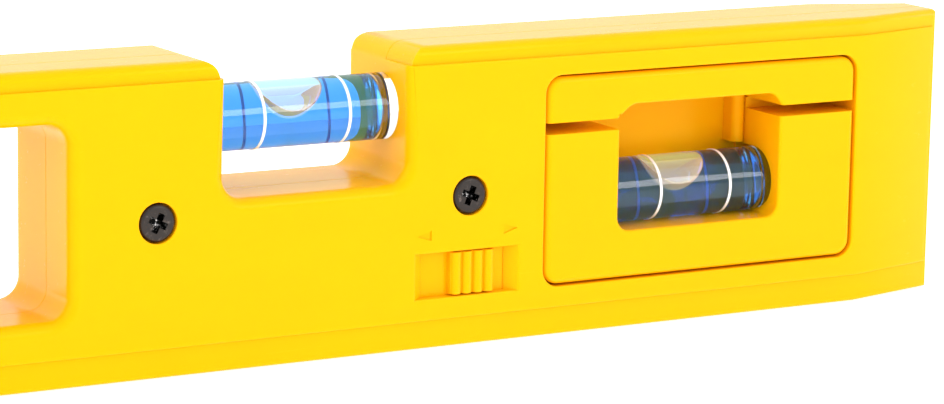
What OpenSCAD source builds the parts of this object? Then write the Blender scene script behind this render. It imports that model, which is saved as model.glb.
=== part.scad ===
// Pocket spirit level with tapered ends, a removable line level and its slide latch.
// +X along the length, the front face looks along -Y, +Z up from the measuring base.

/* [Body] */
// Overall length
body_l = 229; // [222:1:240]
// Overall height, base to top rail
body_h = 45.5; // [45:0.5:48]
// Overall thickness over the raised panels
body_t = 20; // [20:0.5:23]
// Depth of the front shell, from the front panel to the joint between the shells
front_depth = 8.5; // [8:0.25:9]
// How far the panels stand proud of the two rails
panel_proud = 0.6; // [0.3:0.1:1]
// Height of the bottom rail under the panel
bottom_rail_h = 4.3; // [3:0.1:4.6]
// Height of the top rail over the panel
top_rail_h = 2.7; // [2:0.1:3]
// Rounding of the top rail's long edges
rail_round = 1.5; // [0.5:0.1:1.8]
// Rounding of the top rail's ends at the notch
rail_end_round = 3; // [1:0.25:3.5]
// Length of each end that narrows in plan
taper_l = 17.5; // [10:0.5:18]
// How much the front face runs back at an end
taper_front = 4.2; // [2:0.1:5]
// How much the rear face runs in at an end
taper_rear = 6; // [2:0.1:7]
// Moulded wall thickness
wall = 2.2; // [1.8:0.1:2.4]

/* [Notch and window] */
// Half the width of the notch over the level vial
notch_half = 15; // [14:0.25:16]
// Height of the notch floor over the base
notch_floor = 25.2; // [24:0.2:26]
// Corner radius of the notch and of the window
opening_round = 3.2; // [2:0.1:4]
// Inner end of the plumb window, left of the middle
window_inner = 39.2; // [38:0.2:41]
// Width of the plumb window
window_w = 40.6; // [30:0.2:42]
// Bottom of the plumb window
window_bottom = 9.8; // [9:0.2:10.4]
// Top of the plumb window
window_top = 37.8; // [37:0.2:38.4]

/* [Vials] */
// Outer diameter of a vial
vial_d = 10; // [9.6:0.1:10.2]
// Bore of a vial
vial_bore = 8; // [7.6:0.1:8.2]
// Length of a vial
vial_l = 33; // [32:0.5:34]
// Thickness of a vial's closed end
closed_end = 2.6; // [2.2:0.1:3]
// Length of the plug in a vial's open end
plug_l = 3.6; // [3:0.1:4]
// Length of a bubble
bubble_l = 11.2; // [10:0.2:12]
// Height of the level vial's axis
level_vial_z = 35.8; // [35:0.1:36.4]
// Half the distance between the marks of the two body vials
level_mark_half = 7; // [6:0.1:8]
// Half the distance between the marks of the line level's vial
line_mark_half = 6.4; // [6:0.1:7]

/* [Line level] */
// Left end of the line level
line_x0 = 38.8; // [38.6:0.1:39]
// Right end of the line level
line_x1 = 95.4; // [94:0.1:95.6]
// Bottom of the line level
line_z0 = 7.8; // [7.6:0.1:8]
// Top of the line level
line_z1 = 39.6; // [39:0.1:39.8]
// Depth of the line level
line_depth = 14; // [13.5:0.25:14.2]
// Gap between the line level and its pocket
pocket_gap = 0.3; // [0.2:0.05:0.4]
// Left side of the line level's window
pane_x0 = 51.7; // [51:0.1:52.4]
// Right side of the line level's window
pane_x1 = 81.2; // [80.6:0.1:81.8]
// Bottom of the line level's window
pane_z0 = 15.1; // [14.4:0.1:15.2]
// Top of the line level's window
pane_z1 = 34.65; // [34:0.1:35]
// Height of the string slits over the base
slit_z = 30.9; // [30:0.1:31]
// Height of a string slit
slit_h = 1.75; // [1.5:0.05:2]
// Height of the line vial's axis over the base
line_vial_z = 20.15; // [20.1:0.05:20.4]
// Depth of the line vial's axis behind the front panel
line_vial_depth = 7; // [6.8:0.1:7.2]

/* [Latch] */
// Middle of the latch opening
latch_mid = 25.2; // [25:0.1:25.4]
// Length of the latch opening over its two ramps
latch_w = 18; // [17.6:0.1:18.2]
// Bottom of the latch opening
latch_z0 = 7.6; // [7.5:0.1:7.8]
// Height of the latch opening
latch_h = 6.9; // [6.7:0.1:7]
// Length of each ramp
ramp_l = 1.9; // [1.6:0.1:2.1]
// Width of the ribbed thumb piece
thumb_w = 7.45; // [7:0.05:7.6]
// Left side of the thumb piece at rest
thumb_x0 = 22.7; // [22.6:0.05:22.9]
// Number of ribs on the thumb piece
thumb_ribs = 4; // [3:1:5]
// Travel of the latch to the right, into the line level
latch_lock = 1.8; // [1.6:0.1:1.8]

/* [Screws] */
// Distance of the middle case screws from the centre
screw_x = 25.6; // [25.2:0.1:26]
// Distance of the end case screw from the centre
end_screw_x = 97; // [94:0.5:98]
// Diameter of a case screw head
head_d = 5.6; // [5.2:0.1:6]
// Diameter of a case screw shank
shank_d = 2.9; // [2.5:0.1:3]

/* [Hidden] */
$fn = 64;
big = 300;
eps = 0.01;

front_y = -body_t / 2;
rear_y = body_t / 2;
joint_y = front_y + front_depth;
end_x = body_l / 2;
taper_x = end_x - taper_l;
panel_z0 = bottom_rail_h;
panel_z1 = body_h - top_rail_h;
end_gap = 1.2;              // the panel stops this far short of the body's end
screw_z = body_h / 2;
rail_end_x = notch_half + panel_proud;

window_x = -window_inner - window_w / 2;
window_z = (window_bottom + window_top) / 2;
line_vial_x = (line_x0 + line_x1) / 2;
line_vial_y = front_y + line_vial_depth;
line_back_t = 1.5;          // thickness of the line level's rear plate
line_rear_y = front_y + line_depth;
line_round = 2.5;
rib_d = 2.3;                // upright rib behind the line level's window
rib_out = 2.1;
rib_z0 = line_vial_z + vial_d / 2 + 0.4;
pocket_floor_y = line_rear_y + pocket_gap;

latch_floor = 1.6;          // depth from the front panel to the slider's plate
plate_t = 1.8;
plate_y = front_y + latch_floor;
plate_z0 = latch_z0 - 1.1;
plate_h = latch_h + 2.2;
plate_x0 = latch_mid - latch_w / 2 - 0.5;
tongue_tip = line_x0 - pocket_gap - 0.1;
tongue_h = 4;
tongue_z0 = latch_z0 + (latch_h - tongue_h) / 2;
latch_open = 4.2;           // travel of the latch to the left, away from the line level
plate_wall = 1;             // what is left of the pocket's wall beside the plate's room
plate_x1 = line_x0 - pocket_gap - plate_wall - latch_lock - 0.2;
keeper_t = 1.5;
keeper_y = plate_y + plate_t + 0.2;
keeper_screw_z = [latch_z0 - 2.6, latch_z0 + latch_h + 2.6];

arrow_x = 7.4;              // the arrows' distance from the middle of the latch opening
arrow_z = latch_z0 + latch_h + 2.7;
arrow_l = 2.4;
arrow_h = 1.5;
arrow_depth = 0.25;
vial_fit = 0.03;            // radial play of a vial in its seat
bore_fit = 0.02;            // radial play of the spirit and of the plug in the bore
bubble_r = 3.2;
bubble_gap = 0.4;           // what is left between a bubble and the end of its spirit
spirit_x = [closed_end - vial_l / 2, vial_l / 2 - plug_l];
bubble_x = [spirit_x[0] + bubble_l / 2 + bubble_gap, spirit_x[1] - bubble_l / 2 - bubble_gap];
level_bubble_x = -1.4;      // where the level's bubble and the line level's bubble rest
line_bubble_x = -2;
mark_w = 0.45;
mark_t = 0.08;
case_screw_l = 12;
pocket_head_d = 5;
pocket_head_h = 1.2;
boss_d = 7.4;
small_pilot_d = 1.7;        // the small screws of the line level and of the keeper
small_hole_d = 2.2;
small_shank_d = 1.66;
small_head_d = 3.8;
small_head_h = 0.8;
keeper_head_d = 3.4;
keeper_head_h = 0.9;
keeper_w = 7;
slit_deep = 9.5;            // how far the string slits reach in from the front
head_h = 1.9;
head_sunk = 0.15;           // top of a head under the panel
counterbore = head_h + head_sunk;

// ---- shared shapes ----

// Rounded rectangle in X and Z, given as x and z of two corners
module round_rect(x0, z0, x1, z1, r) {
    translate([x0 + r, z0]) square([x1 - x0 - 2 * r, z1 - z0]);
    translate([x0, z0 + r]) square([x1 - x0, z1 - z0 - 2 * r]);
    for (x = [x0 + r, x1 - r], z = [z0 + r, z1 - r]) translate([x, z]) circle(r);
}

// Stands a flat X-Z outline up, from depth y0 to depth y1
module slab(y0, y1) {
    translate([0, y1, 0]) rotate([90, 0, 0]) linear_extrude(y1 - y0) children();
}

// Round bar along Y from depth y0 to depth y1
module bar_y(x, z, d, y0, y1) {
    translate([x, y0, z]) rotate([-90, 0, 0]) cylinder(d = d, h = y1 - y0);
}

// Plan of the body with its narrowing ends, drawn in by a margin
module plan(inset, end_inset) {
    f = front_y + inset;
    b = rear_y - inset;
    e = end_x - end_inset;
    polygon([[-taper_x, f], [taper_x, f], [e, f + taper_front], [e, b - taper_rear],
             [taper_x, b], [-taper_x, b], [-e, b - taper_rear], [-e, f + taper_front]]);
}

// Side profile of the rails: flat base, rounded long edges on top
module rail_profile() {
    f = front_y + panel_proud;
    b = rear_y - panel_proud;
    r = rail_round;
    translate([f, 0]) square([b - f, body_h - r]);
    translate([f + r, 0]) square([b - f - 2 * r, body_h]);
    for (y = [f + r, b - r]) translate([y, body_h - r]) circle(r);
}

// Notch outline, open at the top; the top rail's ends round away from it
module notch_outline(half, floor_z, r) {
    translate([-half + r, floor_z]) square([2 * (half - r), big]);
    translate([-half, floor_z + r]) square([2 * half, big]);
    for (s = [-1, 1]) translate([s * (half - r), floor_z + r]) circle(r);
}

module rail_end_cut() {
    for (s = [-1, 1]) on_side(s)
        difference() {
            translate([rail_end_x - eps, body_h - rail_end_round])
                square([rail_end_round + eps, rail_end_round + 1]);
            translate([rail_end_x + rail_end_round, body_h - rail_end_round])
                circle(rail_end_round);
        }
}

// Mirrors its children to the left for s = -1
module on_side(s) {
    mirror([s < 0 ? 1 : 0, 0]) children();
}

// The notch in front: the panel stands proud of its walls as it does of the rails
module notch_space() {
    slab(front_y - 1, rear_y + 1) {
        intersection() {
            notch_outline(notch_half, notch_floor, opening_round);
            translate([-big / 2, 0]) square([big, panel_z1]);
        }
        intersection() {
            notch_outline(rail_end_x, notch_floor, opening_round);
            translate([-big / 2, panel_z1]) square([big, big]);
        }
        rail_end_cut();
    }
}

module outer_body() {
    // the rails, seen along the length
    intersection() {
        linear_extrude(body_h) plan(panel_proud, 0);
        rotate([90, 0, 90]) translate([0, 0, -end_x])
            linear_extrude(body_l) rail_profile();
    }
    // the proud panels
    translate([0, 0, panel_z0])
        linear_extrude(panel_z1 - panel_z0) plan(0, end_gap);
}

module window_space(grow) {
    round_rect(-window_inner - window_w - grow, window_bottom - grow,
               -window_inner + grow, window_top + grow, opening_round + grow);
}

module pocket_space(grow) {
    g = pocket_gap + grow;
    round_rect(line_x0 - g, line_z0 - g, line_x1 + g, line_z1 + g, line_round + g);
}

// Blocks that hold the ends of the two body vials
module vial_blocks() {
    for (s = [-1, 1]) on_side(s)
        translate([notch_half, notch_floor - wall])
            square([vial_l / 2 - notch_half + wall, body_h]);
    translate([window_x - vial_d / 2 - wall, 0]) square([vial_d + 2 * wall, body_h]);
}

// Posts round the case screws
module boss_outline() {
    for (x = [-end_screw_x, -screw_x, screw_x]) translate([x, screw_z]) circle(d = boss_d);
}

// The hollow of a shell as an X-Z outline: all that is not a wall, a seat or a post
module hollow_outline() {
    difference() {
        translate([-end_x + wall, wall]) square([body_l - 2 * wall, body_h - 2 * wall]);
        window_space(wall);
        pocket_space(wall);
        notch_outline(notch_half + wall, notch_floor - wall, opening_round + wall);
        vial_blocks();
        boss_outline();
    }
}

module hollow_plan() {
    linear_extrude(body_h) plan(wall + panel_proud, wall + 1);
}

// Seats of the level vial and the plumb vial
module vial_seats() {
    d = vial_d + 2 * vial_fit;
    translate([-vial_l / 2 - vial_fit, joint_y, level_vial_z])
        rotate([0, 90, 0]) cylinder(d = d, h = vial_l + 2 * vial_fit);
    translate([window_x, joint_y, window_z - vial_l / 2 - vial_fit])
        cylinder(d = d, h = vial_l + 2 * vial_fit);
}

module through_openings() {
    slab(front_y - 1, rear_y + 1) window_space(0);
    notch_space();
    vial_seats();
}

// ---- shells ----

module front_shell() {
    pilot_d = shank_d + 0.4;
    color("gold") difference() {
        union() {
            difference() {
                intersection() {
                    outer_body();
                    translate([-big / 2, front_y, -1]) cube([big, front_depth, body_h + 2]);
                }
                intersection() {
                    slab(front_y + wall, joint_y + 1) hollow_outline();
                    hollow_plan();
                }
            }
            // the pocket's own box reaches on behind the joint
            slab(joint_y - wall, pocket_floor_y + wall) pocket_space(wall - 0.4);
            latch_frame();
        }
        through_openings();
        slab(front_y - 1, pocket_floor_y) pocket_space(0);
        for (x = [-end_screw_x, -screw_x, screw_x]) {
            bar_y(x, screw_z, head_d + 0.4, front_y - 1, front_y + counterbore);
            bar_y(x, screw_z, pilot_d, front_y, joint_y + 1);
        }
        bar_y(line_vial_x, screw_z, pilot_d, pocket_floor_y - 1, pocket_floor_y + wall + 1);
        bar_y(line_vial_x, screw_z, pocket_head_d + 0.4, pocket_floor_y - 1,
              pocket_floor_y + pocket_head_h + 0.1);
        latch_opening();
    }
}

// Material behind the latch opening: posts for the keeper's screws
module latch_frame() {
    for (z = keeper_screw_z)
        bar_y(latch_mid, z, 3.6, front_y + wall - 0.2, keeper_y);
}

module latch_opening() {
    x0 = latch_mid - latch_w / 2;
    x1 = latch_mid + latch_w / 2;
    y1 = front_y + latch_floor + eps;
    // opening with a ramp at each end
    translate([0, 0, latch_z0]) linear_extrude(latch_h)
        polygon([[x0, front_y - eps], [x1, front_y - eps], [x1 - ramp_l, y1], [x0 + ramp_l, y1]]);
    // room for the slider's plate through its whole travel
    px0 = plate_x0 - latch_open - 0.4;
    translate([px0, plate_y, plate_z0 - 0.2])
        cube([line_x0 - pocket_gap - plate_wall - px0, plate_t + 0.2, plate_h + 0.4]);
    // slot for the tongue through the pocket's side wall
    translate([line_x0 - pocket_gap - plate_wall - 1, plate_y, tongue_z0 - 0.2])
        cube([plate_wall + 2, plate_t + 0.2, tongue_h + 0.4]);
    for (z = keeper_screw_z)
        bar_y(latch_mid, z, small_pilot_d, front_y + wall, keeper_y + 1);
    // shallow arrows that show which way the latch slides
    for (s = [-1, 1]) slab(front_y - eps, front_y + arrow_depth)
        translate([latch_mid + s * arrow_x, arrow_z])
            polygon([[-s * arrow_l / 2, -arrow_h / 2], [s * arrow_l / 2, 0],
                     [-s * arrow_l / 2, arrow_h / 2]]);
}

module rear_shell() {
    color("gold") difference() {
        intersection() {
            outer_body();
            translate([-big / 2, joint_y, -1])
                cube([big, body_t - front_depth, body_h + 2]);
        }
        intersection() {
            slab(joint_y - 1, rear_y - wall) hollow_outline();
            hollow_plan();
        }
        through_openings();
        slab(joint_y - 1, rear_y + 1) notch_outline(rail_end_x, notch_floor, opening_round);
        // clearance round the front shell's pocket box
        slab(joint_y - 1, pocket_floor_y + wall) pocket_space(wall - 0.4 + 0.05);
        for (x = [-end_screw_x, -screw_x, screw_x])
            bar_y(x, screw_z, shank_d - 0.1, joint_y - 1, rear_y - wall - 1.5);
        bar_y(line_vial_x, screw_z, shank_d - 0.1, pocket_floor_y, rear_y - 0.8);
    }
}

// ---- screws ----

// Pan-head screw with a cross recess, head at the front, along +Y from depth y0
module pan_screw(x, z, y0, d, head, h, l) {
    dome_r = head * 0.82;
    skirt = h * 0.05;
    recess_turn = 25;
    recess_l = head * 0.6;
    recess_w = head * 0.14;
    recess_deep = h * 0.62;
    difference() {
        union() {
            translate([x, y0, z]) rotate([-90, 0, 0]) rotate_extrude()
                intersection() {
                    translate([0, -skirt]) square([head / 2, h + skirt]);
                    translate([0, dome_r - skirt]) circle(dome_r);
                }
            bar_y(x, z, d, y0 + h - eps, y0 + h + l);
        }
        for (a = [0, 90]) translate([x, y0, z]) rotate([0, a + recess_turn, 0])
            translate([-recess_l / 2, -1, -recess_w / 2])
                cube([recess_l, 1 + recess_deep, recess_w]);
    }
}

module case_screws() {
    color("#2b2b2d") for (x = [-end_screw_x, -screw_x, screw_x])
        pan_screw(x, screw_z, front_y + counterbore - head_h, shank_d - 0.1, head_d, head_h,
                  case_screw_l);
}

module pocket_screw() {
    color("#2b2b2d")
        pan_screw(line_vial_x, screw_z, pocket_floor_y + 0.1, shank_d - 0.1, pocket_head_d,
                  pocket_head_h, 3);
}

// ---- vials: each is drawn along X about its own centre ----

module along_x(l, d, x0) {
    translate([x0, 0, 0]) rotate([0, 90, 0]) cylinder(d = d, h = l);
}

module vial_tube() {
    color([0.85, 0.93, 1, 0.4]) difference() {
        along_x(vial_l, vial_d, -vial_l / 2);
        along_x(vial_l, vial_bore, spirit_x[0]);
    }
}

module vial_plug() {
    color([0.9, 0.95, 1, 0.5])
        along_x(plug_l, vial_bore - 2 * bore_fit, spirit_x[1]);
}

// Round-ended bar under the top of the bore, the space that a bubble takes
module bubble_form(l, r) {
    rise = 2.6;
    translate([0, 0, rise]) {
        along_x(l - 2 * r, 2 * r, -(l - 2 * r) / 2);
        for (s = [-1, 1]) translate([s * (l / 2 - r), 0, 0]) sphere(r);
    }
}

// Spirit column, with the channel that its bubble takes from one end to the other
module vial_spirit() {
    run = bubble_x[1] - bubble_x[0];
    play = 0.15;
    color([0.12, 0.5, 0.9, 0.7]) difference() {
        along_x(spirit_x[1] - spirit_x[0] - 2 * bore_fit, vial_bore - 2 * bore_fit,
                spirit_x[0] + bore_fit);
        translate([(bubble_x[0] + bubble_x[1]) / 2, 0, 0])
            bubble_form(bubble_l + run + 4 * play, bubble_r + play);
    }
}

module vial_bubble() {
    color([0.9, 0.97, 1, 0.5]) intersection() {
        bubble_form(bubble_l, bubble_r);
        along_x(bubble_l + 2, vial_bore - 0.3, -bubble_l / 2 - 1);
    }
}

module vial_marks(half) {
    color("white") for (s = [-1, 1]) difference() {
        along_x(mark_w, vial_d + 2 * mark_t, s * half - mark_w / 2);
        along_x(mark_w + 1, vial_d + 0.01, s * half - mark_w / 2 - 0.5);
    }
}

module at_level() { translate([0, joint_y, level_vial_z]) children(); }

// Upright, closed end down, and the bubble's side to the front
module at_plumb() {
    translate([window_x, joint_y, window_z]) rotate([0, -90, 0]) rotate([90, 0, 0]) children();
}

module at_line() { translate([line_vial_x, line_vial_y, line_vial_z]) children(); }

module level_vial_tube() { at_level() vial_tube(); }
module level_vial_plug() { at_level() vial_plug(); }
module level_vial_spirit() { at_level() vial_spirit(); }
module level_vial_bubble() { at_level() translate([level_bubble_x, 0, 0]) vial_bubble(); }
module level_vial_marks() { at_level() vial_marks(level_mark_half); }

module plumb_vial_tube() { at_plumb() vial_tube(); }
module plumb_vial_plug() { at_plumb() vial_plug(); }
module plumb_vial_spirit() { at_plumb() vial_spirit(); }
module plumb_vial_bubble() { at_plumb() translate([bubble_x[1], 0, 0]) vial_bubble(); }
module plumb_vial_marks() { at_plumb() vial_marks(level_mark_half); }

module line_vial_tube() { at_line() vial_tube(); }
module line_vial_plug() { at_line() vial_plug(); }
module line_vial_spirit() { at_line() vial_spirit(); }
module line_vial_bubble() { at_line() translate([line_bubble_x, 0, 0]) vial_bubble(); }
module line_vial_marks() { at_line() vial_marks(line_mark_half); }

// ---- line level ----

seat_x = [line_vial_x - vial_l / 2, line_vial_x + vial_l / 2];
line_screw_x = [line_x0 + 4.5, line_x1 - 4.5];
line_screw_z = [line_z0 + 4.5, line_z1 - 4.5];

module pane_outline() {
    r = 2.2;
    round_rect(pane_x0, pane_z0, pane_x1, slit_z + slit_h + eps, r);
    translate([pane_x0, pane_z0 + r]) square([pane_x1 - pane_x0, slit_z - pane_z0]);
    rise = pane_z1 - slit_z - slit_h;
    low = [pane_x0 - 0.2, pane_x1 + 0.4];    // the sides over the slits,
    high = [pane_x0 + 2.2, pane_x1 - 1.2];   // and where they slope in to at the top
    translate([0, slit_z + slit_h])
        polygon([[low[0], -eps], [low[1], -eps], [high[1], rise], [high[0], rise]]);
}

module line_level_body() {
    rear = line_rear_y - line_back_t;
    color("gold") difference() {
        slab(front_y, rear) round_rect(line_x0, line_z0, line_x1, line_z1, line_round);
        slab(front_y - 1, rear + 1) pane_outline();
        // string slits, open at both ends and to the front
        translate([line_x0 - 1, front_y - 1, slit_z])
            cube([line_x1 - line_x0 + 2, 1 + slit_deep, slit_h]);
        // seat for the vial, open to the rear so that the vial drops in
        translate([seat_x[0] - vial_fit, line_vial_y, line_vial_z]) rotate([0, 90, 0])
            cylinder(d = vial_d + 2 * vial_fit, h = vial_l + 2 * vial_fit);
        translate([seat_x[0] - vial_fit, line_vial_y, line_vial_z - vial_d / 2 - vial_fit])
            cube([vial_l + 2 * vial_fit, vial_d, vial_d + 2 * vial_fit]);
        // notch for the latch tongue
        translate([line_x0 - 1, plate_y - 0.4, tongue_z0 - 0.4])
            cube([1 + latch_lock + 0.4, plate_t + 0.8, tongue_h + 0.8]);
        for (x = line_screw_x, z = line_screw_z) 
            bar_y(x, z, small_pilot_d, rear - 6, rear + 1);
    }
}

module line_level_back() {
    rear = line_rear_y - line_back_t;
    pad_y = line_vial_y + vial_d / 2 + vial_fit;
    color("gold") difference() {
        union() {
            slab(rear, line_rear_y)
                round_rect(line_x0, line_z0, line_x1, line_z1, line_round);
            // pads that press on the ends of the vial
            for (x = [seat_x[0], pane_x1])
                translate([x, pad_y, line_vial_z - vial_d / 2])
                    cube([seat_x[1] - pane_x1, rear - pad_y + eps, vial_d]);
            // upright half-round rib in the window's corner
            translate([pane_x1 - rib_d / 2, rear - rib_out, rib_z0])
                cylinder(d = rib_d, h = pane_z1 - rib_z0);
            translate([pane_x1 - rib_d, rear - rib_out, rib_z0])
                cube([rib_d, rib_out + eps, pane_z1 - rib_z0]);
        }
        for (x = line_screw_x, z = line_screw_z) {
            bar_y(x, z, small_hole_d, rear - 1, line_rear_y + 1);
            bar_y(x, z, small_head_d + 0.4, line_rear_y - small_head_h, line_rear_y + 1);
        }
    }
}

module line_level_screws() {
    color("#2b2b2d") for (x = line_screw_x, z = line_screw_z) {
        bar_y(x, z, small_shank_d, line_rear_y - 6, line_rear_y - small_head_h);
        bar_y(x, z, small_head_d, line_rear_y - small_head_h, line_rear_y - 0.1);
    }
}

// ---- latch ----

module latch_slider() {
    thumb_pitch = thumb_w / thumb_ribs;
    z0 = latch_z0 + 0.25;
    h = latch_h - 0.5;
    color("gold") {
        // plate that closes the opening from behind, with the tongue at its right end
        translate([plate_x0, plate_y + 0.1, plate_z0])
            cube([plate_x1 - plate_x0, plate_t - 0.1, plate_h]);
        translate([plate_x1 - eps, plate_y + 0.1, tongue_z0])
            cube([tongue_tip - plate_x1 + eps, plate_t - 0.1, tongue_h]);
        // thumb piece with its upright ribs
        translate([thumb_x0, front_y + 0.75, z0]) cube([thumb_w, latch_floor - 0.6, h]);
        for (i = [0:thumb_ribs - 1])
            translate([thumb_x0 + thumb_pitch * (i + 0.5), front_y + 0.95, z0])
                cylinder(d = thumb_pitch * 0.92, h = h);
    }
}

module latch_keeper() {
    color("gold") difference() {
        translate([latch_mid - keeper_w / 2, keeper_y, keeper_screw_z[0] - 1.9])
            cube([keeper_w, keeper_t, keeper_screw_z[1] - keeper_screw_z[0] + 3.8]);
        for (z = keeper_screw_z)
            bar_y(latch_mid, z, small_hole_d, keeper_y - 1, keeper_y + keeper_t + 1);
    }
}

module latch_keeper_screws() {
    color("#2b2b2d") for (z = keeper_screw_z) {
        bar_y(latch_mid, z, small_shank_d, front_y + wall + 0.2, keeper_y + keeper_t);
        bar_y(latch_mid, z, keeper_head_d, keeper_y + keeper_t,
              keeper_y + keeper_t + keeper_head_h);
    }
}

front_shell();
rear_shell();
case_screws();
pocket_screw();
level_vial_tube();
level_vial_plug();
level_vial_spirit();
level_vial_bubble();
level_vial_marks();
plumb_vial_tube();
plumb_vial_plug();
plumb_vial_spirit();
plumb_vial_bubble();
plumb_vial_marks();
line_level_body();
line_level_back();
line_level_screws();
line_vial_tube();
line_vial_plug();
line_vial_spirit();
line_vial_bubble();
line_vial_marks();
latch_slider();
latch_keeper();
latch_keeper_screws();
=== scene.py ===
import math

import bpy
from mathutils import Matrix, Vector


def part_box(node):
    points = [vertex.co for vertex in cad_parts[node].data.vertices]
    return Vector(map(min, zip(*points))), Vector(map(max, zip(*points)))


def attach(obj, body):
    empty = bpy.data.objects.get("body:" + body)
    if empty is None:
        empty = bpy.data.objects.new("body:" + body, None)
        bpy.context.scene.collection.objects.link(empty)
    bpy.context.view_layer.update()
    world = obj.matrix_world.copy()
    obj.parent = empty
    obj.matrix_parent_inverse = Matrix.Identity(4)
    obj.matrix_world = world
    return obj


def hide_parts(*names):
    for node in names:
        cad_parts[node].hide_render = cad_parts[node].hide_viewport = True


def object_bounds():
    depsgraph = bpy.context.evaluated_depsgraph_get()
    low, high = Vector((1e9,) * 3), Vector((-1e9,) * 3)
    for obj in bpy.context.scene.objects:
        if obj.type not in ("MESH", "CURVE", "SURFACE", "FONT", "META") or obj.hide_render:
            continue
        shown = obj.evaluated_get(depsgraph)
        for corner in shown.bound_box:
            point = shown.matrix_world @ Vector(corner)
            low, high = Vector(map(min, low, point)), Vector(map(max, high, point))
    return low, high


bl_info = {
    "name": "Pocket spirit level",
    "version": (1, 0, 0),
    "blender": (4, 5, 0),
    "location": "View3D > Sidebar > Level",
    "description": "A pocket spirit level with a line level that draws out of its pocket",
    "category": "Object",
}

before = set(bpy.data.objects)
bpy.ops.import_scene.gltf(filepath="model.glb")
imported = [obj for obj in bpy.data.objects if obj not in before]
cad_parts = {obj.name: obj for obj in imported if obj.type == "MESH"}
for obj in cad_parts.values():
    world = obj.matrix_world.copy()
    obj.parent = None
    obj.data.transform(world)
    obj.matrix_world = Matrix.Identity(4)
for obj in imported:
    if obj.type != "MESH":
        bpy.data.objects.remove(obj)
CAD_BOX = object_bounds()

MM = 0.001


def node_box(name):
    """Lowest and highest corner of a CAD node, in millimetres."""
    low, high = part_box(name)
    return Vector(low) / MM, Vector(high) / MM


# Places on the body, in millimetres: X along the length, Y front to rear, Z up from the base.
BODY_LOW, BODY_HIGH = Vector(CAD_BOX[0]) / MM, Vector(CAD_BOX[1]) / MM
FRONT, REAR, END, TOP = BODY_LOW.y, BODY_HIGH.y, BODY_HIGH.x, BODY_HIGH.z
JOINT = node_box("rear_shell")[0].y
LINE_LOW, LINE_HIGH = node_box("line_level_body")
LINE_BACK = node_box("line_level_back")[1].y

PROUD = 0.6            # the panels over the rails
TAPER_X = END - 17.5   # where the ends start to narrow
TAPER_FRONT = 4.2
TAPER_REAR = 6.0
PANEL_LOW, PANEL_TOP = 4.3, TOP - 2.7
NOTCH_HALF, NOTCH_FLOOR = 15.0, 25.2
WINDOW = (-79.8, 9.8, -39.2, 37.8)
POCKET = (LINE_LOW.x - 0.3, LINE_LOW.z - 0.3, LINE_HIGH.x + 0.3, LINE_HIGH.z + 0.3)
LATCH = (16.2, 7.6, 34.2, 14.5)
PANE = (51.5, 15.1, 81.6, 34.65)
SLIT_Z, SLIT_H = 30.9, 1.75
SCREW_HOLES = (-97.0, -25.6, 25.6)
SCREW_Z = TOP / 2
SCREW_SHANK = 2.8
LINE_CORNER = 2.5      # corner radius of the line level's outline
PANE_CORNER = 1.0      # the two upper corners of its window
PANE_RIM, SLIT_RIM, LID_RIM = 0.45, 0.15, 0.5
VIAL_R, SPIRIT_R, BUBBLE_R = 5.0, 3.95, 3.85
BARREL_RIM, SPIRIT_RIM = 0.6, 0.5
BUBBLE_UNDERSIDE = -0.6  # height of a bubble's underside over the vial's axis
SPIRIT_DENSITY = 260.0   # how fast the spirit's tint deepens, per metre


# ---- sizes and colours that a user would change ----

def length(name, text, default, low, high):
    """A length in millimetres."""
    return bpy.props.FloatProperty(name=name, description=text, default=default, min=low, max=high,
                                   precision=2)


def colour(name, text, default):
    """A colour without alpha, in linear light."""
    return bpy.props.FloatVectorProperty(name=name, description=text, default=default, size=3,
                                         min=0, max=1, subtype="COLOR")


class LevelEdges(bpy.types.PropertyGroup):
    """Roundings of the moulded edges, in millimetres."""
    opening: length("Openings", "Rounding round the window and the notch", 1.7, 0.2, 2.0)
    rear_notch: length("Rear notch", "Rounding of the notch's edge at the back", 0.5, 0.2, 0.55)
    panel: length("Panel border", "Rounding of the proud panels' borders", 0.28, 0.1, 0.3)
    base: length("Base", "Rounding of the measuring base's edges", 0.5, 0.2, 1)
    top_end: length("Top rail", "Rounding of the top rail at the narrowing ends", 1.2, 0.3, 1.3)
    corner: length("Corners", "Rounding of the upright edges at the ends", 0.9, 0.2, 1.2)
    pocket: length("Pocket", "Rounding of the pocket's rim and the latch opening", 0.3, 0.1, 0.5)
    counterbore: length("Screw holes", "Rounding of the screw holes' rims", 0.2, 0.05, 0.4)
    joint: length("Joint", "Chamfer of the seam between the two shells", 0.1, 0.02, 0.2)
    line_level: length("Line level", "Rounding of the line level's front edge", 1.0, 0.2, 1.4)


class LevelColours(bpy.types.PropertyGroup):
    """Colours of the finishes."""
    shell: colour("Shells", "Moulded plastic of the body", (0.95, 0.45, 0.001))
    line: colour("Line level", "Moulded plastic of the line level and the latch", (0.95, 0.445, 0.001))
    screw: colour("Screws", "Blackened steel", (0.030, 0.024, 0.021))
    spirit: colour("Spirit", "Tint of the liquid in the vials", (0.02, 0.50, 0.94))
    mark: colour("Marks", "Paint of the vials' rings", (0.95, 0.95, 0.94))
    floor: colour("Floor", "Floor that the level stands on", (0.92, 0.92, 0.92))


class LevelStudio(bpy.types.PropertyGroup):
    """Light of the studio."""
    sky: bpy.props.FloatProperty(name="Sky", description="Brightness of the white surroundings",
                                 default=1.2, min=0, max=3)
    key: bpy.props.FloatProperty(name="Key light", description="Power of the soft box in front on the right",
                                 default=2.2, min=0, max=50, unit="POWER")
    fill: bpy.props.FloatProperty(name="Fill light", description="Power of the soft light from the left",
                                  default=6.0, min=0, max=50, unit="POWER")
    floor_glow: bpy.props.FloatProperty(name="Floor glow", description="Light that the floor gives off",
                                        default=0.55, min=0, max=2)


# ---- modelling by hand ----

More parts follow.
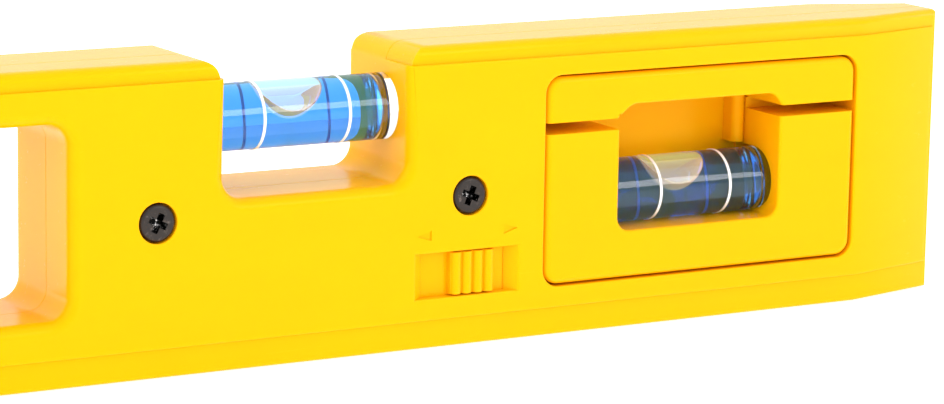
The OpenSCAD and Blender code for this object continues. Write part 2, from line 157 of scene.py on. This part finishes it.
def only(piece):
    """Selects one object alone and makes it the active one."""
    bpy.ops.object.select_all(action="DESELECT")
    piece.select_set(True)
    bpy.context.view_layer.objects.active = piece


def moulding(node, name):
    """A copy of a CAD node with its skin merged, ready for its edges to be rounded."""
    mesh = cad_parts[node].data.copy()
    piece = bpy.data.objects.new(name, mesh)
    bpy.context.scene.collection.objects.link(piece)
    mesh.name = name
    mesh.materials.clear()
    only(piece)
    bpy.ops.object.mode_set(mode="EDIT")
    bpy.ops.mesh.select_all(action="SELECT")
    bpy.ops.mesh.remove_doubles(threshold=1e-6)
    bpy.ops.mesh.dissolve_limited(angle_limit=math.radians(0.5))
    bpy.ops.object.mode_set(mode="OBJECT")
    bpy.ops.mesh.customdata_custom_splitnormals_clear()
    return piece


def pick_edges(piece, test, bend=25, along=None):
    """Leaves edit mode on with those edges selected that bend by more than an angle and lie where asked.

    A direction given as along leaves out the edges that run any other way.
    """
    only(piece)
    bpy.ops.object.mode_set(mode="EDIT")
    bpy.ops.mesh.select_mode(type="EDGE")
    bpy.ops.mesh.select_all(action="DESELECT")
    bpy.ops.object.mode_set(mode="OBJECT")
    mesh = piece.data
    sides = {}
    for face in mesh.polygons:
        for key in face.edge_keys:
            sides.setdefault(key, []).append(face.normal)
    count = 0
    for edge in mesh.edges:
        normals = sides.get(edge.key, [])
        if len(normals) != 2 or normals[0].angle(normals[1], 0) < math.radians(bend):
            continue
        start, end = (mesh.vertices[v].co for v in edge.vertices)
        if along and abs((end - start).normalized().dot(Vector(along))) < 0.99:
            continue
        if test(start / MM) and test(end / MM):
            edge.select = True
            count += 1
    bpy.ops.object.mode_set(mode="EDIT")
    return count


def round_edges(piece, radius, test, segments=3, bend=25, along=None):
    """Rounds the edges that lie where a test on a point in millimetres says."""
    count = pick_edges(piece, test, bend, along)
    if count:
        bpy.ops.mesh.bevel(offset=radius * MM, segments=segments, profile=0.5, affect="EDGES",
                           clamp_overlap=False, loop_slide=False)
    bpy.ops.object.mode_set(mode="OBJECT")


def shave(piece, point, first, second, radius, steps=4):
    """Rounds a straight outer edge through a point, between faces with two outward normals, by flat cuts."""
    first, second = Vector(first).normalized(), Vector(second).normalized()
    middle = Vector(point) - radius * (first + second) / (1 + first.dot(second))
    only(piece)
    bpy.ops.object.mode_set(mode="EDIT")
    for step in range(1, steps):
        outward = first.slerp(second, step / steps)
        bpy.ops.mesh.select_all(action="SELECT")
        bpy.ops.mesh.bisect(plane_co=(middle + radius * outward) * MM, plane_no=outward,
                            use_fill=True, clear_outer=True, threshold=1e-7)
    bpy.ops.object.mode_set(mode="OBJECT")


def smooth(piece, angle=30):
    """Smooth shading that keeps the flat faces flat."""
    only(piece)
    bpy.ops.object.shade_smooth_by_angle(angle=math.radians(angle))
    weights = piece.modifiers.new("Flat faces", "WEIGHTED_NORMAL")
    weights.keep_sharp = True
    bpy.ops.object.modifier_apply(modifier=weights.name)


def rod(name, radius, depth, turn, centre, sides=96):
    """A round bar of a length along an axis, at a centre, all in millimetres."""
    bpy.ops.object.select_all(action="DESELECT")
    bpy.ops.mesh.primitive_cylinder_add(vertices=sides, radius=radius * MM, depth=depth * MM)
    piece = bpy.context.active_object
    piece.name = piece.data.name = name
    piece.rotation_euler = turn
    piece.location = centre * MM
    return piece


def settle(piece):
    """Puts a piece's place into its mesh."""
    only(piece)
    bpy.ops.object.transform_apply(location=True, rotation=True, scale=True)


def pick_points(piece, test):
    """Leaves edit mode on with the points selected that lie where asked, in the piece's own millimetres."""
    only(piece)
    bpy.ops.object.mode_set(mode="EDIT")
    bpy.ops.mesh.select_mode(type="VERT")
    bpy.ops.mesh.select_all(action="DESELECT")
    bpy.ops.object.mode_set(mode="OBJECT")
    for vertex in piece.data.vertices:
        vertex.select = test(vertex.co / MM)
    bpy.ops.object.mode_set(mode="EDIT")


def near(value, target, slack=0.02):
    """True if a value lies within a slack of its target."""
    return abs(value - target) < slack


def inside(co, box, slack=0.05):
    """True if a point lies in an upright rectangle given as low x, low z, high x, high z."""
    return (box[0] - slack < co.x < box[2] + slack) and (box[1] - slack < co.z < box[3] + slack)


def outline(box, corner):
    """A test for points on the outline of an upright rectangle with round corners."""
    middle = Vector((box[0] + box[2], 0, box[1] + box[3])) / 2
    half = Vector((box[2] - box[0], 0, box[3] - box[1])) / 2

    def on_outline(co):
        out = [abs(co[axis] - middle[axis]) - half[axis] + corner for axis in (0, 2)]
        return near(math.hypot(max(out[0], 0), max(out[1], 0)) + min(max(out), 0), corner, 0.06)
    return on_outline


def finish(piece, material, body, slot, *nodes):
    """Gives a finished piece its material and body, and the CAD nodes that it stands for. The slot is not
    used.
    """
    piece.data.materials.clear()
    piece.data.materials.append(material)
    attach(piece, body)
    if nodes:
        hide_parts(*nodes)


def paint_node(node, material):
    """Gives a CAD node that stays a new material."""
    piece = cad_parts[node]
    if not piece.material_slots:
        piece.data.materials.append(material)
    for place in piece.material_slots:
        place.link = "OBJECT"
        place.material = material


# ---- materials ----

class Wire:
    """A socket that can be used in sums."""

    def __init__(self, tree, socket):
        self.tree, self.socket = tree, socket

    def _maths(self, operation, *values, clamp=False):
        return self.tree.node("ShaderNodeMath", {"operation": operation, "use_clamp": clamp},
                              dict(enumerate(values)))

    def __add__(self, other):
        return self._maths("ADD", self, other)

    __radd__ = __add__

    def __sub__(self, other):
        return self._maths("SUBTRACT", self, other)

    def __rsub__(self, other):
        return self._maths("SUBTRACT", other, self)

    def __mul__(self, other):
        return self._maths("MULTIPLY", self, other)

    __rmul__ = __mul__

    def clamp(self):
        return self._maths("ADD", self, 0.0, clamp=True)


class Finish:
    """A node material under construction."""

    def __init__(self, name):
        self.material = bpy.data.materials.new(name)
        self.material.use_nodes = True
        self.tree = self.material.node_tree
        self.tree.nodes.clear()

    def node(self, kind, settings=None, values=None, output=0):
        """Adds a node: its settings first, then the values or links of its sockets."""
        node = self.tree.nodes.new(kind)
        for key, value in (settings or {}).items():
            setattr(node, key, value)
        for key, value in (values or {}).items():
            socket = node.inputs[key]
            if isinstance(value, Wire):
                self.tree.links.new(value.socket, socket)
            else:
                socket.default_value = value
        return Wire(self, node.outputs[output]) if node.outputs else None

    def place(self):
        """Object coordinates in metres."""
        return self.node("ShaderNodeTexCoord", output="Object")

    def noise(self, size, detail=2.0, roughness=0.5, stretch=(1, 1, 1)):
        """Noise from 0 to 1 with patches of about a size in millimetres."""
        at = self.node("ShaderNodeMapping", values={"Vector": self.place(), "Scale": stretch})
        return self.node("ShaderNodeTexNoise", values={
            "Vector": at, "Scale": 1 / (size * MM), "Detail": detail, "Roughness": roughness})

    def mix(self, factor, first, second):
        """A colour between two colours."""
        return self.node("ShaderNodeMix", {"data_type": "RGBA"},
                         {0: factor, 6: first, 7: second}, output=2)

    def bump(self, height, depth, strength=1.0):
        """Normals of a relief whose height runs from 0 to 1 over a depth in millimetres."""
        return self.node("ShaderNodeBump", values={"Height": height, "Distance": depth * MM,
                                                   "Strength": strength})

    def done(self, volume=None, **sockets):
        """Ends the material in one Principled shader. Socket names have _ for a blank."""
        values = {key.replace("_", " "): value for key, value in sockets.items()}
        ends = {"Surface": self.node("ShaderNodeBsdfPrincipled", values=values)}
        if volume:
            ends["Volume"] = volume
        self.node("ShaderNodeOutputMaterial", values=ends)
        return self.material


def rgba(colour, gain=1.0):
    """A colour with alpha, its parts multiplied by a gain."""
    return tuple(min(1.0, part * gain) for part in colour) + (1.0,)


def moulded_plastic(name, tint, gloss=0.24):
    """Glossy moulded plastic: faint flow clouds, a fine grain, light rub marks."""
    f = Finish(name)
    clouds = f.noise(18, 3)
    flow = f.noise(4, 2, stretch=(0.25, 1, 1))
    grain = f.noise(0.35, 2, 0.6)
    rubs = f.noise(1.4, 4, 0.7, stretch=(0.06, 1, 1))
    rubbed = (rubs * 6.0 - 3.6).clamp()
    base = f.mix(clouds * 0.5 + flow * 0.5, rgba(tint, 0.96), rgba(tint, 1.04))
    rough = gloss + (clouds - 0.5) * 0.08 + (grain - 0.5) * 0.06 + rubbed * 0.08
    relief = f.bump(grain, 0.004)
    waves = f.node("ShaderNodeBump", values={"Height": clouds, "Distance": 0.05 * MM, "Normal": relief})
    return f.done(Base_Color=base, Roughness=rough, Normal=waves, IOR=1.3,
                  Specular_Tint=(1, 0.85, 0.15, 1), Subsurface_Weight=0.2,
                  Subsurface_Radius=(2.4, 1.0, 0.05), Subsurface_Scale=MM)


def recess_shade_and_wear():
    """The recess: painted black for the shade that falls in it, with bare glints where a driver has bitten.
    """
    f = Finish("recess_shade_and_wear")
    scores = f.noise(0.5, 3, 0.6)
    glint = (scores * 9.0 - 4.9).clamp()
    # the near-black base is painted shade in the recess; the pale patches are bare steel worn by a driver
    base = f.mix(glint, (0.004, 0.004, 0.004, 1), (0.75, 0.73, 0.72, 1))
    return f.done(Base_Color=base, Roughness=0.22 + scores * 0.2, Normal=f.bump(scores, 0.02), Metallic=1.0)


def blackened_steel(tint):
    """Blackened steel with grit, and brighter where tools have rubbed it."""
    f = Finish("blackened_steel")
    grit = f.noise(0.25, 3, 0.6)
    worn = (f.noise(0.8, 3, 0.7) * 5.0 - 2.9).clamp()
    base = f.mix(worn, rgba(tint), rgba(tint, 5))
    rough = 0.34 + (grit - 0.5) * 0.2 - worn * 0.08
    return f.done(Base_Color=base, Roughness=rough, Normal=f.bump(grit, 0.01), Metallic=0.6)


def clear_acrylic(name, tint, ior):
    """Clear acrylic with faint drawing lines."""
    f = Finish(name)
    lines = f.noise(3, 2)
    rough = 0.01 + lines * 0.02
    return f.done(Base_Color=tint, Roughness=rough, Normal=f.bump(lines, 0.002),
                  Transmission_Weight=1.0, IOR=ior)


def spirit_liquid(tint):
    """Tinted spirit inside acrylic: its index is the liquid's over the acrylic's, and depth deepens it."""
    f = Finish("tinted_spirit")
    swirl = f.noise(5, 1)
    pale = [part ** 0.4 for part in tint]
    base = f.mix(swirl, rgba(pale, 0.97), rgba(pale))
    depth = f.node("ShaderNodeVolumeAbsorption", values={"Color": rgba(tint), "Density": SPIRIT_DENSITY})
    return f.done(depth, Base_Color=base, Roughness=0.0, Transmission_Weight=0.92, IOR=1.36 / 1.49)


def air_bubble():
    """Air in the spirit. Its painted warm glow makes up for the tint of the liquid that surrounds it."""
    f = Finish("trapped_air")
    film = f.noise(2, 1)
    # the emission is a painted warm glow; the bubble gives off no light of its own
    return f.done(Base_Color=(1, 1, 1, 1), Roughness=film * 0.01, Transmission_Weight=1.0, IOR=1 / 1.36,
                  Emission_Color=(1, 0.3, 0.12, 1), Emission_Strength=1.0)


def mark_paint(tint):
    """White paint of the rings, a little uneven."""
    f = Finish("mark_paint")
    speckle = f.noise(0.3, 2)
    base = f.mix(speckle, rgba(tint, 0.93), rgba(tint))
    return f.done(Base_Color=base, Roughness=0.4 + speckle * 0.15, Normal=f.bump(speckle, 0.005))


def floor_paint(tint, glow):
    """Seamless pale floor that glows a little, so that shadows stay faint."""
    f = Finish("studio_floor")
    fibre = f.noise(1.5, 2)
    base = f.mix(fibre, rgba(tint, 0.99), rgba(tint))
    return f.done(Base_Color=base, Roughness=0.9, Emission_Color=rgba((1, 1, 1)),
                  Emission_Strength=glow, IOR=1.1)


def material(kind):
    """Makes a material the first time that it is asked for."""
    if kind in bpy.data.materials:
        return bpy.data.materials[kind]
    colours = bpy.context.scene.level_colours
    makers = {
        "shell_plastic": lambda: moulded_plastic(kind, colours.shell),
        "line_plastic": lambda: moulded_plastic(kind, colours.line, 0.22),
        "blackened_steel": lambda: blackened_steel(colours.screw),
        "recess_shade_and_wear": recess_shade_and_wear,
        "barrel_acrylic": lambda: clear_acrylic(kind, (0.97, 0.99, 1, 1), 1.49),
        "plug_acrylic": lambda: clear_acrylic(kind, (0.99, 1, 1, 1), 1.03),
        "tinted_spirit": lambda: spirit_liquid(colours.spirit),
        "trapped_air": air_bubble,
        "mark_paint": lambda: mark_paint(colours.mark),
    }
    return makers[kind]()


# ---- shells ----

def outer_edges(piece, side, edges):
    """Rounds the straight outer edges of one shell. side is -1 for the front shell and 1 for the rear."""
    face = (FRONT + PROUD) if side < 0 else (REAR - PROUD)
    run = TAPER_FRONT if side < 0 else TAPER_REAR
    straight = Vector((0, side, 0))
    shave(piece, (0, face, 0), straight, (0, 0, -1), edges.base)
    for end in (-1, 1):
        slant = Vector((end * run, side * (END - TAPER_X), 0))
        corner = Vector((end * END, face - side * run, 0))
        top = corner + Vector((0, 0, TOP))
        shave(piece, corner, slant, (0, 0, -1), edges.base)
        shave(piece, corner, (end, 0, 0), (0, 0, -1), edges.base)
        shave(piece, corner, slant, (end, 0, 0), edges.corner)
        shave(piece, top, slant, (0, 0, 1), edges.top_end)
        shave(piece, top, (end, 0, 0), (0, 0, 1), edges.corner)


def notch_test(face, half):
    """Points on the notch's outline in a panel's face."""
    def on_notch(co):
        return near(co.y, face) and abs(co.x) < half + 0.05 and NOTCH_FLOOR - 0.05 < co.z < PANEL_TOP + 0.05
    return on_notch


def border_test(side):
    """Points on the outline of a proud panel."""
    face = FRONT if side < 0 else REAR

    def on_border(co):
        if not (near(co.z, PANEL_LOW) or near(co.z, PANEL_TOP) or near(abs(co.x), END - 1.2, 0.05)):
            return False
        if co.z < PANEL_LOW - 0.02 or co.z > PANEL_TOP + 0.02:
            return False
        slope = (TAPER_FRONT if side < 0 else TAPER_REAR) / (END - 1.2 - TAPER_X)
        surface = face - side * max(0.0, abs(co.x) - TAPER_X) * slope
        return near(co.y, surface, 0.03)
    return on_border


def joint_test(co):
    """Points on the seam between the shells, outside or in an opening."""
    if not near(co.y, JOINT):
        return False
    outside = abs(co.x) > END - 1 or co.z < 1 or co.z > TOP - 1
    mouth = abs(co.x) < NOTCH_HALF + 4 and co.z > NOTCH_FLOOR - 0.1
    return outside or mouth or inside(co, WINDOW)


class LEVEL_OT_shells(bpy.types.Operator):
    """Moulds the two shells from the frame, with every edge rounded"""
    bl_idname = "level.shells"
    bl_label = "Shells"

    def execute(self, context):
        edges = context.scene.level_edges
        front = moulding("front_shell", "front_moulding")
        outer_edges(front, -1, edges)
        round_edges(front, edges.opening, lambda co: near(co.y, FRONT) and inside(co, WINDOW), 5)
        round_edges(front, edges.opening, notch_test(FRONT, NOTCH_HALF), 5)
        round_edges(front, edges.pocket, lambda co: near(co.y, FRONT) and inside(co, POCKET))
        round_edges(front, edges.pocket, lambda co: near(co.y, FRONT) and inside(co, LATCH))
        for x in SCREW_HOLES:
            rim = (x - 4, SCREW_Z - 4, x + 4, SCREW_Z + 4)
            round_edges(front, edges.counterbore, lambda co: near(co.y, FRONT) and inside(co, rim))
        round_edges(front, edges.panel, border_test(-1))
        round_edges(front, edges.joint, joint_test, 1)
        smooth(front)
        finish(front, material("shell_plastic"), "level", "shell_yellow", "front_shell")

        rear = moulding("rear_shell", "rear_moulding")
        outer_edges(rear, 1, edges)
        round_edges(rear, edges.opening, lambda co: near(co.y, REAR) and inside(co, WINDOW), 5)
        round_edges(rear, edges.rear_notch, notch_test(REAR, NOTCH_HALF + PROUD), 3)
        round_edges(rear, edges.panel, border_test(1))
        round_edges(rear, edges.joint, joint_test, 1)
        smooth(rear)
        finish(rear, material("shell_plastic"), "level", "shell_yellow", "rear_shell")
        return {"FINISHED"}


# ---- line level ----

class LEVEL_OT_line_level(bpy.types.Operator):
    """Moulds the line level's body and back, and finishes its screws"""
    bl_idname = "level.line_level"
    bl_label = "Line level"

    def execute(self, context):
        edges = context.scene.level_edges
        body = moulding("line_level_body", "line_level_moulding")

        rim = outline((LINE_LOW.x, LINE_LOW.z, LINE_HIGH.x, LINE_HIGH.z), LINE_CORNER)
        # the two corners at the top of the window, which run from front to rear
        round_edges(body, PANE_CORNER, lambda co: near(co.z, PANE[3]) and inside(co, PANE, 0.1),
                    4, 20, (0, 1, 0))
        round_edges(body, edges.line_level, lambda co: near(co.y, FRONT) and rim(co), 5)
        round_edges(body, PANE_RIM, lambda co: near(co.y, FRONT) and inside(co, PANE, 0.1), 3)
        round_edges(body, SLIT_RIM, lambda co: near(co.y, FRONT) and
                    (near(co.z, SLIT_Z) or near(co.z, SLIT_Z + SLIT_H)), 2)
        smooth(body)
        finish(body, material("line_plastic"), "line_level", "line_yellow", "line_level_body")

        back = moulding("line_level_back", "line_level_lid")
        round_edges(back, LID_RIM, lambda co: near(co.y, LINE_BACK) and rim(co), 3)
        smooth(back)
        finish(back, material("line_plastic"), "line_level", "line_yellow", "line_level_back")

        screws = moulding("line_level_screws", "line_level_lid_screws")
        round_edges(screws, 0.15, lambda co: co.y > LINE_BACK - 0.2, 2)
        smooth(screws)
        finish(screws, material("blackened_steel"), "line_level", "screw_black", "line_level_screws")
        return {"FINISHED"}


# ---- latch ----

class LEVEL_OT_latch(bpy.types.Operator):
    """Moulds the slide latch and finishes its keeper"""
    bl_idname = "level.latch"
    bl_label = "Latch"

    def execute(self, context):
        slider = moulding("latch_slider", "latch_slide")
        round_edges(slider, 0.1, lambda co: co.y < FRONT + 1.5, 2, 40)
        smooth(slider, 35)
        finish(slider, material("line_plastic"), "latch", "latch_yellow", "latch_slider")
        keeper = moulding("latch_keeper", "latch_keeper_bar")
        round_edges(keeper, 0.3, lambda co: True, 2)
        smooth(keeper)
        finish(keeper, material("line_plastic"), "level", "latch_yellow", "latch_keeper")
        paint_node("latch_keeper_screws", material("blackened_steel"))
        return {"FINISHED"}


# ---- screws ----

def blade(size, turn):
    """One tapered wing of a cross recess, standing in the top of a head along Z."""
    wide, thick, deep = size
    bpy.ops.object.select_all(action="DESELECT")
    bpy.ops.mesh.primitive_cube_add(size=MM, location=(0, 0, 0), scale=(wide, thick, 2 * deep))
    cutter = bpy.context.active_object
    settle(cutter)
    pick_points(cutter, lambda co: co.z < 0)
    bpy.ops.transform.resize(value=(0.6, 0.65, 1))
    bpy.ops.object.mode_set(mode="OBJECT")
    cutter.rotation_euler = (0, 0, turn)
    settle(cutter)
    return cutter


def cross_screw(name, head, head_deep, shank, long, turn):
    """A pan-head screw whose head's top is at the origin: a cross recess, a shank and a point."""
    piece = rod(name, head / 2, head_deep, (0, 0, 0), Vector((0, 0, -head_deep / 2)), 64)
    settle(piece)
    pick_points(piece, lambda co: False)
    bpy.ops.mesh.select_mode(type="FACE")
    bpy.ops.object.mode_set(mode="OBJECT")
    for face in piece.data.polygons:
        face.select = face.normal.z < -0.99
    bpy.ops.object.mode_set(mode="EDIT")
    bpy.ops.mesh.inset(thickness=(head - shank) / 2 * MM)
    bpy.ops.mesh.extrude_region_move(TRANSFORM_OT_translate={"value": (0, 0, -(long - shank) * MM)})
    bpy.ops.mesh.extrude_region_move(TRANSFORM_OT_translate={"value": (0, 0, -shank * MM)})
    bpy.ops.transform.resize(value=(0.3, 0.3, 1))
    bpy.ops.object.mode_set(mode="OBJECT")
    round_edges(piece, head_deep * 0.32, lambda co: near(co.z, 0), 4, 60)
    for quarter in (0, math.pi / 2):
        cutter = blade((head * 0.66, head * 0.22, head_deep * 0.75), turn + quarter)
        only(piece)
        cut = piece.modifiers.new("Recess", "BOOLEAN")
        cut.operation = "DIFFERENCE"
        cut.object = cutter
        bpy.ops.object.modifier_apply(modifier=cut.name)
        bpy.data.objects.remove(cutter)
    return piece


def shade_and_wear_recess(piece, head, head_deep):
    """Puts the second material, painted shade with bare worn steel, on the floor and walls of the cross
    recess.
    """
    for face in piece.data.polygons:
        at = face.center / MM
        if math.hypot(at.x, at.y) < head * 0.34 and -head_deep < at.z < -0.04 * head_deep:
            face.material_index = 1


class LEVEL_OT_screws(bpy.types.Operator):
    """Makes the three case screws and the pocket screw, each with its cross recess"""
    bl_idname = "level.screws"
    bl_label = "Screws"

    def execute(self, context):
        sets = (("case_screws", "case_screw", SCREW_HOLES, (-1.2, -0.45, -0.4), 5.6, 1.9),
                ("pocket_screw", "pocket_floor_screw", ((LINE_LOW.x + LINE_HIGH.x) / 2,), (0.3,), 5.0, 1.2))
        for node, name, places, turns, head, head_deep in sets:
            low, high = node_box(node)
            for number, (x, turn) in enumerate(zip(places, turns), 1):
                piece = cross_screw(f"{name}_{number}", head, head_deep, SCREW_SHANK,
                                    high.y - low.y - head_deep, turn)
                finish(piece, material("blackened_steel"), "level", "screw_black", node)
                # second material: painted shade in the cross recess, with bare worn steel
                piece.data.materials.append(material("recess_shade_and_wear"))
                shade_and_wear_recess(piece, head, head_deep)
                piece.rotation_euler = (math.pi / 2, 0, 0)
                piece.location = Vector((x, low.y, SCREW_Z)) * MM
                settle(piece)
                smooth(piece)
        return {"FINISHED"}


# ---- vials ----

def barrel(name, turn, centre, long):
    """The vial's clear body: a round bar with soft ends and a dimple where the plug is sealed."""
    piece = rod(name, VIAL_R, long, turn, centre)
    round_edges(piece, BARREL_RIM, lambda co: True, 4, 60)
    pick_points(piece, lambda co: False)
    bpy.ops.mesh.select_mode(type="FACE")
    bpy.ops.object.mode_set(mode="OBJECT")
    for face in piece.data.polygons:
        face.select = face.normal.z > 0.99 and face.area > 1e-6
    bpy.ops.object.mode_set(mode="EDIT")
    bpy.ops.mesh.inset(thickness=0.7 * MM)
    bpy.ops.mesh.inset(thickness=0.25 * MM, depth=-0.25 * MM)
    bpy.ops.object.mode_set(mode="OBJECT")
    settle(piece)
    smooth(piece)
    return piece


def filling(name, turn, centre, long):
    """The spirit, which fills the bore from the closed end to the plug."""
    piece = rod(name, SPIRIT_R, long, turn, centre)
    round_edges(piece, SPIRIT_RIM, lambda co: True, 4, 60)
    settle(piece)
    smooth(piece)
    return piece


def bubble(name, turn, centre, long):
    """The air bubble: the part of a large ball that the bore's top cuts off, with a soft rim."""
    deep = BUBBLE_R - BUBBLE_UNDERSIDE
    ball = ((long / 2) ** 2 + deep ** 2) / (2 * deep)
    bpy.ops.object.select_all(action="DESELECT")
    bpy.ops.mesh.primitive_uv_sphere_add(segments=96, ring_count=48, radius=ball * MM,
                                         location=(-(BUBBLE_UNDERSIDE + ball) * MM, 0, 0))
    piece = bpy.context.active_object
    piece.name = piece.data.name = name
    settle(piece)
    bore = rod("bore", BUBBLE_R, 2 * ball, (0, 0, 0), Vector())
    settle(bore)
    only(piece)
    cut = piece.modifiers.new("Bore", "BOOLEAN")
    cut.operation = "INTERSECT"
    cut.object = bore
    bpy.ops.object.modifier_apply(modifier=cut.name)
    bpy.data.objects.remove(bore)
    skin = piece.modifiers.new("Even skin", "REMESH")
    skin.mode = "VOXEL"
    skin.voxel_size = 0.15 * MM
    bpy.ops.object.modifier_apply(modifier=skin.name)
    soft = piece.modifiers.new("Soft rim", "SMOOTH")
    soft.factor = 0.5
    soft.iterations = 8
    bpy.ops.object.modifier_apply(modifier=soft.name)
    piece.rotation_euler = turn
    piece.location = centre * MM
    settle(piece)
    smooth(piece, 60)
    return piece


class LEVEL_OT_vials(bpy.types.Operator):
    """Makes the clear body, the spirit and the bubble of each vial, and paints its rings and plug"""
    bl_idname = "level.vials"
    bl_label = "Vials"

    def execute(self, context):
        for vial, body, air_body in (("level", "level", "level_bubble"), ("plumb", "level", "plumb_bubble"),
                                     ("line", "line_level", "line_bubble")):
            low, high = node_box(f"{vial}_vial_tube")
            centre = (low + high) / 2
            upright = vial == "plumb"
            turn = (0, 0, math.pi / 2) if upright else (0, math.pi / 2, 0)
            long = (high - low)[2 if upright else 0]
            tube = barrel(f"{vial}_vial_barrel", turn, centre, long)
            finish(tube, material("barrel_acrylic"), body, "vial_acrylic", f"{vial}_vial_tube")
            spirit_low, spirit_high = node_box(f"{vial}_vial_spirit")
            column = (spirit_high - spirit_low)[2 if upright else 0]
            spirit = filling(f"{vial}_vial_filling", turn, (spirit_low + spirit_high) / 2, column)
            finish(spirit, material("tinted_spirit"), body, "spirit_blue", f"{vial}_vial_spirit")
            air_low, air_high = node_box(f"{vial}_vial_bubble")
            middle = (air_low + air_high) / 2
            along = Vector((0, 0, middle.z - centre.z)) if upright else Vector((middle.x - centre.x, 0, 0))
            air_long = (air_high - air_low)[2 if upright else 0]
            air = bubble(f"{vial}_vial_air", turn, centre + along, air_long)
            finish(air, material("trapped_air"), air_body, "bubble_air", f"{vial}_vial_bubble")
            paint_node(f"{vial}_vial_marks", material("mark_paint"))
            paint_node(f"{vial}_vial_plug", material("plug_acrylic"))
        return {"FINISHED"}


# ---- stage ----

def soft_light(name, place, aim, size, power):
    """A large soft square light at a place, aimed at a point, both in metres."""
    light = bpy.data.lights.new(name, "AREA")
    light.size = size
    light.energy = power
    lamp = bpy.data.objects.new(name, light)
    lamp.location = place
    lamp.rotation_euler = (Vector(aim) - Vector(place)).to_track_quat("-Z", "Y").to_euler()
    bpy.context.scene.collection.objects.link(lamp)


def add_camera():
    """The camera stands to the left and a little above, and leans by a degree."""
    azimuth, elevation, roll = math.radians(30.2), math.radians(10.675), math.radians(0.983)
    aim, distance = Vector((0.02581, -0.010, 0.02177)), 0.54415
    ahead = Vector((math.sin(azimuth) * math.cos(elevation), math.cos(azimuth) * math.cos(elevation),
                    -math.sin(elevation)))
    right = Vector((math.cos(azimuth), -math.sin(azimuth), 0))
    up = right.cross(ahead)
    leaning = math.cos(roll) * right + math.sin(roll) * up
    up = math.cos(roll) * up - math.sin(roll) * right
    data = bpy.data.cameras.new("camera")
    data.sensor_width = 36
    data.lens = 139.36
    camera = bpy.data.objects.new("camera", data)
    turn = Matrix((leaning, up, -ahead)).transposed().to_4x4()
    camera.matrix_world = Matrix.Translation(aim - ahead * distance) @ turn
    bpy.context.scene.collection.objects.link(camera)
    bpy.context.scene.camera = camera


class LEVEL_OT_stage(bpy.types.Operator):
    """Sets up the camera, the floor, the sky and the soft lights"""
    bl_idname = "level.stage"
    bl_label = "Stage"

    def execute(self, context):
        scene = context.scene
        studio, colours = scene.level_studio, scene.level_colours
        add_camera()
        bpy.ops.object.select_all(action="DESELECT")
        bpy.ops.mesh.primitive_plane_add(size=12, location=(0, 0, -0.0001))
        floor = bpy.context.active_object
        floor.name = "studio_floor"
        settle(floor)
        floor.data.materials.append(floor_paint(colours.floor, studio.floor_glow))
        soft_light("key_light", (0.55, -0.9, 0.42), (0, 0, 0.02), 0.36, studio.key)
        soft_light("fill_light", (-1.0, -0.1, 0.65), (0, 0, 0.02), 1.2, studio.fill)
        world = bpy.data.worlds.new("studio")
        world.use_nodes = True
        sky = world.node_tree.nodes["Background"]
        sky.inputs["Color"].default_value = (1, 1, 1, 1)
        sky.inputs["Strength"].default_value = studio.sky
        scene.world = world
        scene.view_settings.view_transform = "Standard"
        return {"FINISHED"}


# ---- add-on ----

MAKING = ("level.stage", "level.shells", "level.line_level", "level.latch", "level.screws", "level.vials")


class LEVEL_PT_panel(bpy.types.Panel):
    """Sizes, colours and the steps that make the level"""
    bl_idname = "LEVEL_PT_panel"
    bl_label = "Spirit level"
    bl_space_type = "VIEW_3D"
    bl_region_type = "UI"
    bl_category = "Level"

    def draw(self, context):
        layout = self.layout
        for group in (context.scene.level_edges, context.scene.level_colours, context.scene.level_studio):
            box = layout.box()
            for name in group.__annotations__:
                box.prop(group, name)
        for step in MAKING:
            layout.operator(step)


CLASSES = (LevelEdges, LevelColours, LevelStudio, LEVEL_OT_stage, LEVEL_OT_shells, LEVEL_OT_line_level,
           LEVEL_OT_latch, LEVEL_OT_screws, LEVEL_OT_vials, LEVEL_PT_panel)


def register():
    for item in CLASSES:
        bpy.utils.register_class(item)
    bpy.types.Scene.level_edges = bpy.props.PointerProperty(type=LevelEdges)
    bpy.types.Scene.level_colours = bpy.props.PointerProperty(type=LevelColours)
    bpy.types.Scene.level_studio = bpy.props.PointerProperty(type=LevelStudio)


def unregister():
    del bpy.types.Scene.level_studio
    del bpy.types.Scene.level_colours
    del bpy.types.Scene.level_edges
    for item in reversed(CLASSES):
        bpy.utils.unregister_class(item)


def main():
    """Registers the add-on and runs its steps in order."""
    register()
    for step in MAKING:
        group, name = step.split(".")
        getattr(getattr(bpy.ops, group), name)()


if __name__ == "__main__":
    main()
